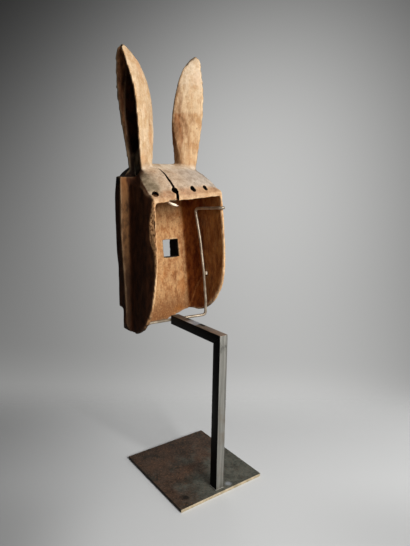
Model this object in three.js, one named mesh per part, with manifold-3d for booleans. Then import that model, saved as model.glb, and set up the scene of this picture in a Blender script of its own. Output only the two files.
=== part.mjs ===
// A carved wooden hare mask, held on a square steel stand by a bent steel rod.
// Millimetres, +Z up. The origin is the middle of the base plate's underside.
// The mask looks along -Y, and its hollow back is open towards +Y.

import * as THREE from 'three';
import { mergeVertices } from 'three/addons/utils/BufferGeometryUtils.js';
import Module from 'manifold-3d';

const wasm = await Module();
wasm.setup();

// Steel stand
const PLATE_SIDE = 200;
const PLATE_THICK = 6.2;
const BAR = 19;
const BAR_X = 1.7;
const POST_Y = 82;
const ARM_TOP = 320.5;
const ARM_FRONT = -67.8;
const JOIN_GAP = 0.3;

// Cradle rod
const ROD_R = 3;
const ROD_BEND_R = 7;
const ROD_SIDES = 8;
const ROD_STEP = 4.5;
const ROD_LEFT_X = 74;
const ROD_UPRIGHT_X = -71.5;
const ROD_UPRIGHT = [[-56, 312], [-56, 343], [-65, 407], [-79, 474], [-98.5, 538]];
const ROD_HOOK_Y = -12;
const ROD_HOOK_X = -79.8;
const ROD_HOOK_Z = 543.5;

// Head of the mask
const WALL_X = 86;
const REAR_WALL_X = 82;
const WALL_THICK = 9;
const FLOOR_THICK = 12.5;
const RIM_Y = -20.5;
const RIM_Z = 566;
const RIM_THICK = 5;
const CREST_Y = -113;
const CREST_Z = 631;
const CROWN_X = 77.5;
const CROWN_DROP = 10;
const BROW_CROWN_DROP = 5.5;
const CROWN_POWER = 4.7;
const SHOULDER_DROP = 45;
const SHOULDER_POWER = 4.2;
const SHOULDER_LIFT = 40;
const DOME_SHAPE = [1.35, 0.74];
const DOME_DEPTH = 190;
const DOME_BASE = 200;
const ABOVE = 660;
const BELOW = 230;
const RIM_TILT = 0.072;
const DOME_COLUMNS = 30;
const DOME_ROWS = 32;
const BROW_Y = -135;
const BROW_DROP = 43;
const BROW_RUN = 50;
const BROW_POWER = 2.2;

// Hollow back
const BACK_Y = -116;
const BACK_Z = 320;
const BACK_LEAN = 0.152;
const HOLLOW_CORNER_R = 16;
const HOLLOW_THROAT_X = 71;
const VAULT_Z = 591;

// Face frame
const FLANGE_Y = -104;
const FLANGE_X = 106.5;
const FLANGE_LOW_X = 97;
const FLANGE_TOP = 606;
const FACE_FOOT = 337;
const FACE_Y = -176;
const FACE_Z = 455;
const FACE_LEAN = 0.06;
const FACE_HALF = 70.5;
const FACE_CORNER_Y = -178;
const CHEEK_Y = -133;
const CHEEK_IN = 6;
const CHIN_Y = -135;
const LOW_Z = 287;
const HIGH_Z = 314;

// Eye channels and holes
const NOSE_HALF = 13;
const CHANNEL_OUT = 56;
const CHANNEL_LOW = 372;
const CHANNEL_TOP = 574;
const EYE_IN = 15.5;
const EYE_OUT = 54;
const EYE_LOW = 431.5;
const EYE_TOP = 469;
const RIM_HOLES = [[72, 5.8], [27.5, 6.4], [-15.5, 5.2], [-45.6, 4.4]];
const RIM_HOLE_Y = -30;
const RIM_HOLE_SLOPE = 30 * THREE.MathUtils.DEG2RAD;
const WALL_HOLE_R = 4.5;
const WALL_HOLE_AT = [-64, 401];
const CRACK = [
  [30.4, -86, 0.4], [30, -70, 1.8], [29.4, -50, 2.8], [28.6, -34, 3.4], [26.4, -22, 4.8], [27, 0, 5],
];
const CRACK_FOOT = 552;
const BITES = [[543, 5], [531, 7], [518, 8], [505, 7.5], [493, 6]];

// Ears
const EAR_LIP = 5;
const EAR_WALL = 9;
const EAR_BULGE = 4;
const EAR_ROWS = 26;
const GROOVE_FOOT = 599;
const GROOVE_END = 0.95;
const EAR_END = 0.992;

const materials = {
  wood: new THREE.MeshStandardMaterial({ color: 0xa9824f, roughness: 0.82, metalness: 0 }),
  plate: new THREE.MeshStandardMaterial({ color: 0x4a3f38, roughness: 0.55, metalness: 0.8 }),
  bar: new THREE.MeshStandardMaterial({ color: 0x5c5a57, roughness: 0.5, metalness: 0.8 }),
  rod: new THREE.MeshStandardMaterial({ color: 0x8d8678, roughness: 0.45, metalness: 0.8 }),
};

const X_AXIS = new THREE.Vector3(1, 0, 0);
const Y_AXIS = new THREE.Vector3(0, 1, 0);
const Z_AXIS = new THREE.Vector3(0, 0, 1);

function clamp01(value) {
  return Math.min(1, Math.max(0, value));
}

function smoothStep(from, to, value) {
  const t = clamp01((value - from) / (to - from));
  return t * t * (3 - 2 * t);
}

// Solids

function solidOf(geometry) {
  const bare = geometry.clone();
  bare.deleteAttribute('normal');
  bare.deleteAttribute('uv');
  const welded = mergeVertices(bare, 1e-4);
  return new wasm.Manifold(new wasm.Mesh({
    numProp: 3,
    vertProperties: new Float32Array(welded.attributes.position.array),
    triVerts: new Uint32Array(welded.index.array),
  }));
}

function geometryOf(solid) {
  const mesh = solid.getMesh();
  const geometry = new THREE.BufferGeometry();
  geometry.setAttribute('position', new THREE.BufferAttribute(mesh.vertProperties.slice(), 3));
  geometry.setIndex(new THREE.BufferAttribute(mesh.triVerts.slice(), 1));
  geometry.computeVertexNormals();
  return geometry;
}

function boxSolid(low, high) {
  const size = [0, 1, 2].map((axis) => high[axis] - low[axis]);
  const middle = [0, 1, 2].map((axis) => (high[axis] + low[axis]) / 2);
  return solidOf(new THREE.BoxGeometry(...size).translate(...middle));
}

function shapeOf(points) {
  return new THREE.Shape(points.map(([across, up]) => new THREE.Vector2(across, up)));
}

// An outline seen from above, in X and Y, raised from one height to another.
function raise(shape, lowZ, highZ) {
  const geometry = new THREE.ExtrudeGeometry(shape, { depth: highZ - lowZ, bevelEnabled: false });
  return geometry.translate(0, 0, lowZ);
}

// An outline seen from the side, in Y and Z, drawn out along X.
function drawAcross(shape, fromX, toX) {
  const geometry = new THREE.ExtrudeGeometry(shape, { depth: toX - fromX, bevelEnabled: false });
  const turn = new THREE.Matrix4().makeBasis(Y_AXIS, Z_AXIS, X_AXIS);
  return geometry.applyMatrix4(turn).translate(fromX, 0, 0);
}

// An outline seen from behind, in X and Z, drawn out along Y.
function drawForward(shape, rearY, frontY) {
  const geometry = new THREE.ExtrudeGeometry(shape, { depth: rearY - frontY, bevelEnabled: false });
  const turn = new THREE.Matrix4().makeBasis(X_AXIS, Z_AXIS, Y_AXIS.clone().negate());
  return geometry.applyMatrix4(turn).translate(0, rearY, 0);
}

// The hollow's back leans: it is deeper at the forehead than at the chin.
function lean(geometry) {
  const shear = new THREE.Matrix4().set(
    1, 0, 0, 0,
    0, 1, -BACK_LEAN, BACK_LEAN * BACK_Z,
    0, 0, 1, 0,
    0, 0, 0, 1,
  );
  return geometry.applyMatrix4(shear);
}

// The rim of the hollow is lower on the left than on the right.
function tilt(geometry) {
  const shear = new THREE.Matrix4().set(
    1, 0, 0, 0,
    0, 1, 0, 0,
    -RIM_TILT, 0, 1, 0,
    0, 0, 0, 1,
  );
  return geometry.applyMatrix4(shear);
}

function smoothLine(points, divisions) {
  const curve = new THREE.SplineCurve(points.map(([across, up]) => new THREE.Vector2(across, up)));
  return curve.getPoints(divisions).map((point) => [point.x, point.y]);
}

// Rings of points, one above the other, skinned into a closed body.
function skin(rings) {
  const sides = rings[0].length;
  const positions = rings.flat().flatMap((point) => [point.x, point.y, point.z]);
  const index = [];
  for (let row = 0; row < rings.length - 1; row += 1) {
    for (let side = 0; side < sides; side += 1) {
      const next = (side + 1) % sides;
      const a = row * sides + side;
      const b = row * sides + next;
      index.push(a, b, a + sides, b, b + sides, a + sides);
    }
  }
  for (const row of [0, rings.length - 1]) {
    const middle = positions.length / 3;
    const centre = rings[row].reduce((sum, point) => sum.add(point), new THREE.Vector3());
    centre.divideScalar(sides);
    positions.push(centre.x, centre.y, centre.z);
    for (let side = 0; side < sides; side += 1) {
      const pair = [row * sides + side, row * sides + (side + 1) % sides];
      if (row === 0) pair.reverse();
      index.push(pair[0], pair[1], middle);
    }
  }
  const geometry = new THREE.BufferGeometry();
  geometry.setAttribute('position', new THREE.Float32BufferAttribute(positions, 3));
  geometry.setIndex(index);
  return geometry;
}

function turnInsideOut(geometry) {
  const index = geometry.index.array;
  for (let corner = 0; corner < index.length; corner += 3) {
    [index[corner + 1], index[corner + 2]] = [index[corner + 2], index[corner + 1]];
  }
  return geometry;
}

function mirrored(geometry) {
  return turnInsideOut(geometry.clone().scale(-1, 1, 1));
}

// Head

// Height of the domed top: steep at the rear rim, level between the ears, rolling down at the brow.
function topHeight(x, y) {
  const back = clamp01((y - CREST_Y) / (RIM_Y - CREST_Y));
  const middle = RIM_Z + (CREST_Z - RIM_Z) * (1 - back ** DOME_SHAPE[0]) ** DOME_SHAPE[1];
  const rearDrop = CROWN_DROP * smoothStep(RIM_Y, RIM_Y - 20, y);
  const crownDrop = rearDrop + BROW_CROWN_DROP * smoothStep(-108, -130, y);
  const crown = crownDrop * (Math.abs(x) / CROWN_X) ** CROWN_POWER;
  const brow = BROW_DROP * clamp01((BROW_Y - y) / BROW_RUN) ** BROW_POWER;
  const lift = SHOULDER_LIFT * smoothStep(-94, -114, y);
  const shoulder = SHOULDER_DROP * (Math.abs(x) / WALL_X) ** SHOULDER_POWER - lift;
  const height = Math.min(middle - crown, CREST_Z + 2 - shoulder);
  return height - brow - RIM_TILT * x * back ** 1.5;
}

function domeSolid() {
  const geometry = new THREE.BoxGeometry(2 * WALL_X + 30, DOME_DEPTH, 1, DOME_COLUMNS, DOME_ROWS, 1);
  geometry.translate(0, -DOME_DEPTH / 2, 0);
  const position = geometry.attributes.position;
  for (let i = 0; i < position.count; i += 1) {
    const x = position.getX(i);
    const along = 1 + position.getY(i) / DOME_DEPTH;
    const y = -DOME_DEPTH * (1 - along ** 1.5);
    position.setY(i, y);
    position.setZ(i, position.getZ(i) > 0 ? topHeight(x, y) : DOME_BASE);
  }
  return solidOf(geometry);
}

// Side view of one half of the head. The two walls end at different heights, as they are worn.
function wallOutline(rearEdge, frontY) {
  const rear = smoothLine(rearEdge, 30);
  const faceFront = (z) => FACE_Y - FACE_LEAN * (z - FACE_Z);
  return shapeOf([
    ...rear,
    [frontY, rearEdge.at(-1)[1]],
    [frontY, FACE_FOOT],
    [faceFront(FACE_FOOT), FACE_FOOT],
    [faceFront(ABOVE), ABOVE],
    [RIM_Y, ABOVE],
  ]);
}

const LEFT_EDGE = [
  [RIM_Y, RIM_Z],
  [-16, 500],
  [-12, 440],
  [-20.5, 380],
  [-31, 340],
  [-54.5, 306],
  [-86, LOW_Z],
];
const RIGHT_EDGE = [
  [RIM_Y, RIM_Z],
  [-11.9, 509],
  [-6.2, 460],
  [-5.6, 425],
  [-10, 389],
  [-27, 358.5],
  [-50, 335],
  [-76, 318.5],
  [-100, HIGH_Z],
];

// Rear view of the face's lower edge, which climbs from the left wall to the right wall.
const LOWER_EDGE = [
  [FLANGE_LOW_X, LOW_Z + 17],
  [88, LOW_Z + 1],
  [62, LOW_Z],
  [39, 290],
  [8, 295.5],
  [-18, 299.5],
  [-45, 305.8],
  [-66, 313.5],
  [-72, 315.5],
  [-88, HIGH_Z + 1],
  [-FLANGE_LOW_X, HIGH_Z + 14],
];

function headBlock() {
  const plan = shapeOf([
    [REAR_WALL_X, 0],
    [REAR_WALL_X, RIM_Y],
    [WALL_X, -44],
    [WALL_X, -148],
    [FACE_HALF, -174],
    [FACE_HALF, -200],
    [-FACE_HALF, -200],
    [-FACE_HALF, -174],
    [-WALL_X, -148],
    [-WALL_X, -44],
    [-REAR_WALL_X, RIM_Y],
    [-REAR_WALL_X, 0],
  ]);
  const left = solidOf(drawAcross(wallOutline(LEFT_EDGE, CHIN_Y), 0, 120));
  const right = solidOf(drawAcross(wallOutline(RIGHT_EDGE, CHIN_Y), -120, 0));
  const rearView = shapeOf([[120, ABOVE], [120, LOW_Z], ...LOWER_EDGE, [-120, HIGH_Z], [-120, ABOVE]]);
  return left.add(right)
    .intersect(solidOf(raise(plan, BELOW, ABOVE)))
    .intersect(solidOf(drawForward(rearView, 0, -200)))
    .intersect(domeSolid());
}

// Half the width of the face's front, from its foot to its top.
const FACE_FRONT = [[250, 68], [425, 68.5], [455, 71.5], [500, 73], [560, 73.5], [590, 72], [FLANGE_TOP, 70]];

// The face frame stands out past the side walls and narrows towards the front.
function faceFrame() {
  const flank = [[FLANGE_X, FLANGE_TOP], [106, 540], [105.3, 485], [100.5, 405], [97.6, 340]];
  const left = smoothLine([...flank, [FLANGE_LOW_X, LOW_Z + 17]], 14);
  const right = left.map(([x, z]) => [-x, z]).filter(([, z]) => z > HIGH_Z + 14).reverse();
  const frontView = shapeOf([...left, ...LOWER_EDGE.slice(1), ...right]);
  const rings = FACE_FRONT.map(([z, half]) => {
    const cheek = half + FLANGE_X - FACE_HALF - CHEEK_IN;
    const side = [[FLANGE_X, FLANGE_Y], [cheek, CHEEK_Y], [half, FACE_CORNER_Y], [half, -200]];
    const outline = [...side, ...side.map(([x, y]) => [-x, y]).reverse()];
    return outline.map(([x, y]) => new THREE.Vector3(x, y, z));
  });
  const faceFront = (z) => FACE_Y - FACE_LEAN * (z - FACE_Z);
  const sideView = shapeOf([
    [FLANGE_Y, FLANGE_TOP],
    [-150, FLANGE_TOP],
    [-176, 596],
    [faceFront(575), 575],
    [faceFront(FACE_FOOT), FACE_FOOT],
    [FLANGE_Y, FACE_FOOT],
  ]);
  const chinPlan = shapeOf([
    [110, FLANGE_Y],
    [110, -117],
    [FLANGE_LOW_X, -117],
    [87, CHIN_Y],
    [-87, CHIN_Y],
    [-FLANGE_LOW_X, -117],
    [-110, -117],
    [-110, FLANGE_Y],
  ]);
  const frame = solidOf(turnInsideOut(skin(rings))).intersect(solidOf(drawAcross(sideView, -120, 120)));
  const chin = solidOf(raise(chinPlan, BELOW, FACE_FOOT + 1));
  return frame.add(chin).intersect(solidOf(drawForward(frontView, 0, -200)));
}

function hollow() {
  const inner = WALL_X - WALL_THICK;
  const bend = HOLLOW_CORNER_R;
  const plan = new THREE.Shape();
  plan.moveTo(inner - 1, 60);
  plan.lineTo(-inner + 1, 60);
  plan.lineTo(-inner, -70);
  plan.lineTo(-HOLLOW_THROAT_X, BACK_Y + bend);
  plan.quadraticCurveTo(-HOLLOW_THROAT_X, BACK_Y, -HOLLOW_THROAT_X + bend, BACK_Y);
  plan.lineTo(HOLLOW_THROAT_X - bend, BACK_Y);
  plan.quadraticCurveTo(HOLLOW_THROAT_X, BACK_Y, HOLLOW_THROAT_X, BACK_Y + bend);
  plan.lineTo(inner, -70);
  const body = solidOf(lean(raise(plan, BELOW, ABOVE)));
  const mouthTop = RIM_Z - RIM_THICK;
  const ceiling = smoothLine([[-24, mouthTop], [-45, 574], [-85, 588], [-125, 588], [-160, 562]], 14);
  const sideView = shapeOf([[60, mouthTop], [60, BELOW], [-200, BELOW], [-200, 540], ...ceiling.reverse()]);
  const vault = smoothLine([[inner, mouthTop - 2], [68, 576], [38, VAULT_Z - 4], [0, VAULT_Z]], 10);
  const rearView = shapeOf([
    ...vault.map(([x, z]) => [-x, z]),
    ...vault.slice(0, -1).reverse(),
    [inner + 3, mouthTop - 2],
    [inner + 3, BELOW],
    [-inner - 3, BELOW],
    [-inner - 3, mouthTop - 2],
  ]);
  return body
    .intersect(solidOf(tilt(drawAcross(sideView, -100, 100))))
    .intersect(solidOf(tilt(drawForward(rearView, 60, -200))));
}

// A deep channel runs down each side of the nose, and a square eye hole is cut through its floor.
function eyeCut(side) {
  const edges = (inner, outer) => [side * inner, side * outer].sort((a, b) => a - b);
  const [channelFrom, channelTo] = edges(NOSE_HALF, CHANNEL_OUT);
  const channelPlan = shapeOf([
    [channelFrom, BACK_Y - FLOOR_THICK],
    [channelTo, BACK_Y - FLOOR_THICK],
    [channelTo, -220],
    [channelFrom, -220],
  ]);
  const channel = solidOf(lean(raise(channelPlan, CHANNEL_LOW, CHANNEL_TOP)));
  const [eyeFrom, eyeTo] = edges(EYE_IN, EYE_OUT);
  return channel.add(boxSolid([eyeFrom, -210, EYE_LOW], [eyeTo, -100, EYE_TOP]));
}

// A hole through the rim of the top, square to its steep edge.
function rimHole([x, r]) {
  const fan = 0.5 * x / WALL_X;
  const drill = new THREE.Vector3(fan, Math.cos(RIM_HOLE_SLOPE), Math.sin(RIM_HOLE_SLOPE)).normalize();
  const geometry = new THREE.CylinderGeometry(r, r, 60, 14);
  geometry.applyQuaternion(new THREE.Quaternion().setFromUnitVectors(Y_AXIS, drill));
  return solidOf(geometry.translate(x, RIM_HOLE_Y, topHeight(x, RIM_HOLE_Y)));
}

function wallHole() {
  const geometry = new THREE.CylinderGeometry(WALL_HOLE_R, WALL_HOLE_R, 40, 12).rotateZ(Math.PI / 2);
  return solidOf(geometry.translate(-WALL_X, ...WALL_HOLE_AT));
}

// The drying crack that opens from the crest down to the rim, through the second hole.
function crack() {
  const left = CRACK.map(([x, y, width]) => [x + width / 2, y]);
  const right = CRACK.map(([x, y, width]) => [x - width / 2, y]).reverse();
  return solidOf(raise(shapeOf([...left, ...right]), CRACK_FOOT, ABOVE));
}

// Insects and wear have eaten the outer corner of the left wall.
function gnawedCorner() {
  return BITES.map(([z, size]) => {
    const bite = new THREE.IcosahedronGeometry(size, 1).scale(0.8, 1.8, 1.2);
    return solidOf(bite.translate(REAR_WALL_X + 3.5, RIM_Y + 3, z));
  });
}

// Ears

// Each ear hangs on three lines that meet at the tip: its inner spine, its rear lip and its front lip.
const EAR_TIP = new THREE.Vector3(86.5, -124, 850.5);
const EAR_SPINE = [
  [38, -112, 575], [33, -113, 640], [24, -117, 710], [31.5, -117, 768], [51, -121, 818], [76, -124, 844.5],
];
const EAR_REAR = [
  [62, -88, 575], [69, -89, 640], [77, -84, 710], [82, -88, 768], [89, -105, 818], [91, -115, 842],
];
const EAR_FRONT = [
  [72, -126, 575], [78, -127, 640], [81, -146, 710], [87, -150, 768], [92, -143, 818], [93.5, -133, 842.5],
];
const EAR_THICK = [[575, 15], [640, 12], [715, 3.5], [860, 1.8]];

function earLine(points) {
  const places = points.map((point) => new THREE.Vector3(...point));
  return new THREE.CatmullRomCurve3([...places, EAR_TIP], false, 'centripetal');
}

function earHalfThick(z) {
  const next = EAR_THICK.findIndex(([height]) => height > z);
  const [lowZ, low] = EAR_THICK[next - 1];
  const [highZ, high] = EAR_THICK[next];
  return THREE.MathUtils.lerp(low, high, (z - lowZ) / (highZ - lowZ));
}

const earSpine = earLine(EAR_SPINE);
const earRear = earLine(EAR_REAR);
const earFront = earLine(EAR_FRONT);

function earSection(t) {
  const spine = earSpine.getPoint(t);
  const rear = earRear.getPoint(t);
  const front = earFront.getPoint(t);
  return { spine, rear, front, thick: earHalfThick(spine.z) };
}

// The skin between two corners bulges a little, like the back of a real ear.
function bulged(from, to, outward, bulge) {
  return [0.25, 0.5, 0.75].map((s) => {
    const point = from.clone().lerp(to, s);
    return point.addScaledVector(outward, 4 * bulge * s * (1 - s));
  });
}

function earRing(t) {
  const { spine, rear, front, thick } = earSection(t);
  const bulge = Math.min(EAR_BULGE, spine.distanceTo(rear) * 0.07);
  const innerRear = spine.clone().addScaledVector(Y_AXIS, thick);
  const innerFront = spine.clone().addScaledVector(Y_AXIS, -thick);
  const back = new THREE.Vector3(-0.4, 0.9, 0);
  const fore = new THREE.Vector3(-0.4, -0.9, 0);
  return [
    innerRear,
    ...bulged(innerRear, rear, back, bulge),
    rear,
    front,
    ...bulged(front, innerFront, fore, bulge),
    innerFront,
  ];
}

function grooveRing(t) {
  const { spine, rear, front } = earSection(t);
  const mouth = rear.distanceTo(front);
  const lip = Math.min(EAR_LIP, mouth * 0.2);
  const inRear = rear.clone().lerp(front, lip / mouth);
  const inFront = front.clone().lerp(rear, lip / mouth);
  const centre = rear.clone().add(front).multiplyScalar(0.5);
  const depth = spine.distanceTo(centre);
  const deep = spine.clone().lerp(centre, Math.min(0.45, (EAR_WALL + 3) / depth));
  const control = deep.clone().multiplyScalar(2).addScaledVector(inRear, -0.5).addScaledVector(inFront, -0.5);
  const trough = new THREE.QuadraticBezierCurve3(inRear, control, inFront).getPoints(6);
  const outside = X_AXIS.clone().multiplyScalar(40);
  return [inRear.clone().add(outside), ...trough, inFront.clone().add(outside)];
}

function ear() {
  const rings = [];
  const grooves = [];
  for (let row = 0; row <= EAR_ROWS; row += 1) {
    const t = EAR_END * (row / EAR_ROWS);
    rings.push(earRing(t));
    if (t < GROOVE_END && earSection(t).spine.z >= GROOVE_FOOT - 4) grooves.push(grooveRing(t));
  }
  return { body: turnInsideOut(skin(rings)), groove: skin(grooves) };
}

function mask() {
  const { body, groove } = ear();
  let solid = headBlock().add(faceFrame()).subtract(hollow());
  solid = solid.add(solidOf(body)).add(solidOf(mirrored(body)));
  solid = solid.subtract(solidOf(groove)).subtract(solidOf(mirrored(groove)));
  const cuts = [eyeCut(1), eyeCut(-1), wallHole(), crack()];
  cuts.push(...RIM_HOLES.map(rimHole), ...gnawedCorner());
  for (const cut of cuts) solid = solid.subtract(cut);
  return new THREE.Mesh(geometryOf(solid), materials.wood);
}

// Stand

function basePlate() {
  const half = PLATE_SIDE / 2;
  const soft = 1.2;
  const outline = shapeOf([
    [half, -half + soft],
    [half, half - soft],
    [half - soft, half],
    [-half + soft, half],
    [-half, half - soft],
    [-half, -half + soft],
    [-half + soft, -half],
    [half - soft, -half],
  ]);
  return new THREE.Mesh(raise(outline, 0, PLATE_THICK), materials.plate);
}

// Post and arm are lengths of the same square bar, mitred where they meet.
function post() {
  const front = POST_Y - BAR / 2;
  const rear = POST_Y + BAR / 2;
  const foot = PLATE_THICK + JOIN_GAP;
  const outline = shapeOf([
    [front, foot],
    [rear, foot],
    [rear, ARM_TOP - JOIN_GAP],
    [front, ARM_TOP - BAR - JOIN_GAP],
  ]);
  const geometry = drawAcross(outline, BAR_X - BAR / 2, BAR_X + BAR / 2);
  return new THREE.Mesh(geometry, materials.bar);
}

function arm() {
  const front = POST_Y - BAR / 2;
  const rear = POST_Y + BAR / 2;
  const outline = shapeOf([
    [ARM_FRONT, ARM_TOP - BAR],
    [front, ARM_TOP - BAR],
    [rear, ARM_TOP],
    [ARM_FRONT, ARM_TOP],
  ]);
  const geometry = drawAcross(outline, BAR_X - BAR / 2, BAR_X + BAR / 2);
  return new THREE.Mesh(geometry, materials.bar);
}

// A path of straight runs with a round bend at each inner corner.
function bentPath(corners, bendR) {
  const path = new THREE.CurvePath();
  let start = corners[0];
  for (let i = 1; i < corners.length; i += 1) {
    const corner = corners[i];
    const next = corners[i + 1];
    if (!next) {
      path.add(new THREE.LineCurve3(start, corner));
      break;
    }
    const reach = (other) => Math.min(bendR, corner.distanceTo(other) * 0.45);
    const into = corner.clone().lerp(start, reach(start) / corner.distanceTo(start));
    const out = corner.clone().lerp(next, reach(next) / corner.distanceTo(next));
    path.add(new THREE.LineCurve3(start, into));
    path.add(new THREE.QuadraticBezierCurve3(into, corner, out));
    start = out;
  }
  return path;
}

// The rod runs across the arm's end, up inside the right wall, and back over the wall's edge.
function cradleRod() {
  const acrossY = ARM_FRONT - JOIN_GAP - ROD_R;
  const corners = [
    [ROD_LEFT_X, acrossY, 311.3],
    [-12, acrossY, 308.8],
    ...ROD_UPRIGHT.map(([y, z]) => [ROD_UPRIGHT_X, y, z]),
    [ROD_UPRIGHT_X, ROD_HOOK_Y, ROD_HOOK_Z],
    [ROD_HOOK_X, ROD_HOOK_Y, ROD_HOOK_Z],
  ];
  const path = bentPath(corners.map((corner) => new THREE.Vector3(...corner)), ROD_BEND_R);
  const section = new THREE.Shape();
  for (let side = 0; side < ROD_SIDES; side += 1) {
    const angle = 2 * Math.PI * side / ROD_SIDES;
    const point = [ROD_R * Math.cos(angle), ROD_R * Math.sin(angle)];
    if (side === 0) section.moveTo(...point);
    else section.lineTo(...point);
  }
  const steps = Math.round(path.getLength() / ROD_STEP);
  return new THREE.Mesh(new THREE.ExtrudeGeometry(section, { steps, extrudePath: path }), materials.rod);
}

const parts = {
  mask: mask(),
  base_plate: basePlate(),
  post: post(),
  arm: arm(),
  cradle_rod: cradleRod(),
};

const group = new THREE.Group();
for (const [name, mesh] of Object.entries(parts)) {
  mesh.name = name;
  group.add(mesh);
}

export default group;
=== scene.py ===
# %% [markdown]
# # A carved hare mask on a steel stand
# The object is an old wooden mask with two tall ears, seen from behind, so its hollow back shows.
# It is held up by a square steel plate, a post, an arm and a bent rod. The solid model gives every
# size and place. This lesson gives the wood its carved and worn surface, gives the steel its
# soft edges and mill finish, and lights the whole as in a small studio.

# %% Load the solid model
import itertools
import math

import bmesh
import bpy
import numpy as np
from mathutils import Matrix, Vector


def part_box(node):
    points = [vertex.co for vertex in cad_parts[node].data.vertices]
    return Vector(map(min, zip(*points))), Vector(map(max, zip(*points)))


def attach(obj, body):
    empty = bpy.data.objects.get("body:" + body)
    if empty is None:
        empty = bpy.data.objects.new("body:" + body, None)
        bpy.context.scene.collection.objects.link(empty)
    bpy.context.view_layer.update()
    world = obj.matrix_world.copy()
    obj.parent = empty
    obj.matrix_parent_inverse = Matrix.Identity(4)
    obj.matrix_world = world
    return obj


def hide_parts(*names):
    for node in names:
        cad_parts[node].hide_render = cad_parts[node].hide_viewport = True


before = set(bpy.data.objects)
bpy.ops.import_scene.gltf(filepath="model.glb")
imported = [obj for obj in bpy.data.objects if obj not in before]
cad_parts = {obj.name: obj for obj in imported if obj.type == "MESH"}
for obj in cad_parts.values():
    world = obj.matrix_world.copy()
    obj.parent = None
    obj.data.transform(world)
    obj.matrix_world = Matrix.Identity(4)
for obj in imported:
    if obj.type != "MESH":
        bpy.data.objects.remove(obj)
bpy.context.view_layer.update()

MM = 0.001
print("pieces of the solid model:", sorted(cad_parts))

# %% [markdown]
# ## Camera
# The photograph was taken from behind the mask, a little above its middle, with a fairly wide lens.
# The camera is set by its place, its turn and its tilt, which were worked out from the corners of
# the square plate. The mask stands left of the picture's middle, yet the verticals stay upright.
# A lens shift does that, so the camera is not turned away from the subject.

# %% Camera
PICTURE_HEIGHT = 546
SENSOR_MM = 36
CAMERA_PLACE = Vector((530.7, 704.4, 598.5)) * MM
CAMERA_TURN = math.radians(147.08)
CAMERA_TILT = math.radians(11.41)
LENS_MM = 30.44
SHIFT_TO_RIGHT = 42 / PICTURE_HEIGHT


def placed(name, data):
    """A new object in the scene."""
    made = bpy.data.objects.new(name, data)
    bpy.context.scene.collection.objects.link(made)
    return made


lens = bpy.data.cameras.new("camera")
lens.sensor_width = SENSOR_MM
lens.lens = LENS_MM
lens.shift_x = SHIFT_TO_RIGHT
lens.clip_start = 10 * MM
camera = placed("camera", lens)
camera.location = CAMERA_PLACE
camera.rotation_euler = (math.pi / 2 - CAMERA_TILT, 0, CAMERA_TURN)
bpy.context.scene.camera = camera
bpy.context.scene.view_settings.view_transform = "Standard"
print("camera", [round(value, 3) for value in CAMERA_PLACE])

# %% [markdown]
# ## Writing node trees as plain expressions
# A material is a network of nodes, and maths in it takes one node for each sum. Adding them by hand
# hides the idea behind the wiring. The small class below wraps a node's output socket, so that
# `1 - mask * 0.5` adds the right Math nodes by itself. Colours and vectors have their own nodes,
# because a Math node would turn them grey. Geometry Nodes use the same maths nodes, so the same
# class serves both.


# %% Arithmetic on sockets
def operator(operation, reflected=False):
    """A method that adds one Math node. Reflected, it serves for 1 - mask."""
    def method(self, other):
        return self.math(operation, *((other, self) if reflected else (self, other)))
    return method


class Wire:
    """An output socket of a node, with arithmetic."""

    __add__, __radd__ = operator("ADD"), operator("ADD", True)
    __sub__, __rsub__ = operator("SUBTRACT"), operator("SUBTRACT", True)
    __mul__, __rmul__ = operator("MULTIPLY"), operator("MULTIPLY", True)
    __truediv__, __rpow__ = operator("DIVIDE"), operator("POWER", True)

    def __init__(self, tree, socket):
        self.tree = tree
        self.socket = socket

    def math(self, operation, first, second):
        node = self.tree.nodes.new("ShaderNodeMath")
        node.operation = operation
        for slot, value in zip(node.inputs, (first, second)):
            plug(self.tree, slot, value)
        return Wire(self.tree, node.outputs[0])

    def held(self, low, high):
        """The value, held between two limits."""
        return self.math("MAXIMUM", self.math("MINIMUM", self, high), low)

    def clipped(self):
        return self.held(0.0, 1.0)


def plug(tree, slot, value):
    if isinstance(value, Wire):
        tree.links.new(value.socket, slot)
    else:
        slot.default_value = value


# %% Networks and finishes
class Network:
    """A node tree under construction."""

    def __init__(self, tree):
        self.tree = tree

    def node(self, kind, settings=None, out=0, **sockets):
        """A node of this kind; its settings are set first, then its sockets, by name or number."""
        made = self.tree.nodes.new(kind)
        for key, value in (settings or {}).items():
            setattr(made, key, value)
        for key, value in sockets.items():
            place = int(key[1:]) if key[0] == "_" else key.replace("_", " ")
            plug(self.tree, made.inputs[place], value)
        return Wire(self.tree, made.outputs[out])

    def measured(self, operation, *vectors):
        """A number from one or two vectors, such as a length."""
        sockets = {f"_{place}": vector for place, vector in enumerate(vectors)}
        return self.node("ShaderNodeVectorMath", {"operation": operation}, out="Value", **sockets)

    def along(self, place, way):
        """How far a place, or a direction, goes along a way."""
        return self.measured("DOT_PRODUCT", place, way)

    def band(self, value, low, high):
        """0 below low, 1 above high, with a soft step between; also downwards."""
        settings = {"interpolation_type": "SMOOTHSTEP"}
        ends = {"_1": low, "_2": high, "_3": 0.0, "_4": 1.0}
        if low > high:
            ends = {"_1": high, "_2": low, "_3": 1.0, "_4": 0.0}
        return self.node("ShaderNodeMapRange", settings, Value=value, **ends)


def colour(red, green, blue):
    """A colour as seen on a screen, 0 to 255, as the linear colour that a shader takes."""
    linear = []
    for level in (red / 255, green / 255, blue / 255):
        linear.append(level / 12.92 if level <= 0.04045 else ((level + 0.055) / 1.055) ** 2.4)
    return (*linear, 1.0)


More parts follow.
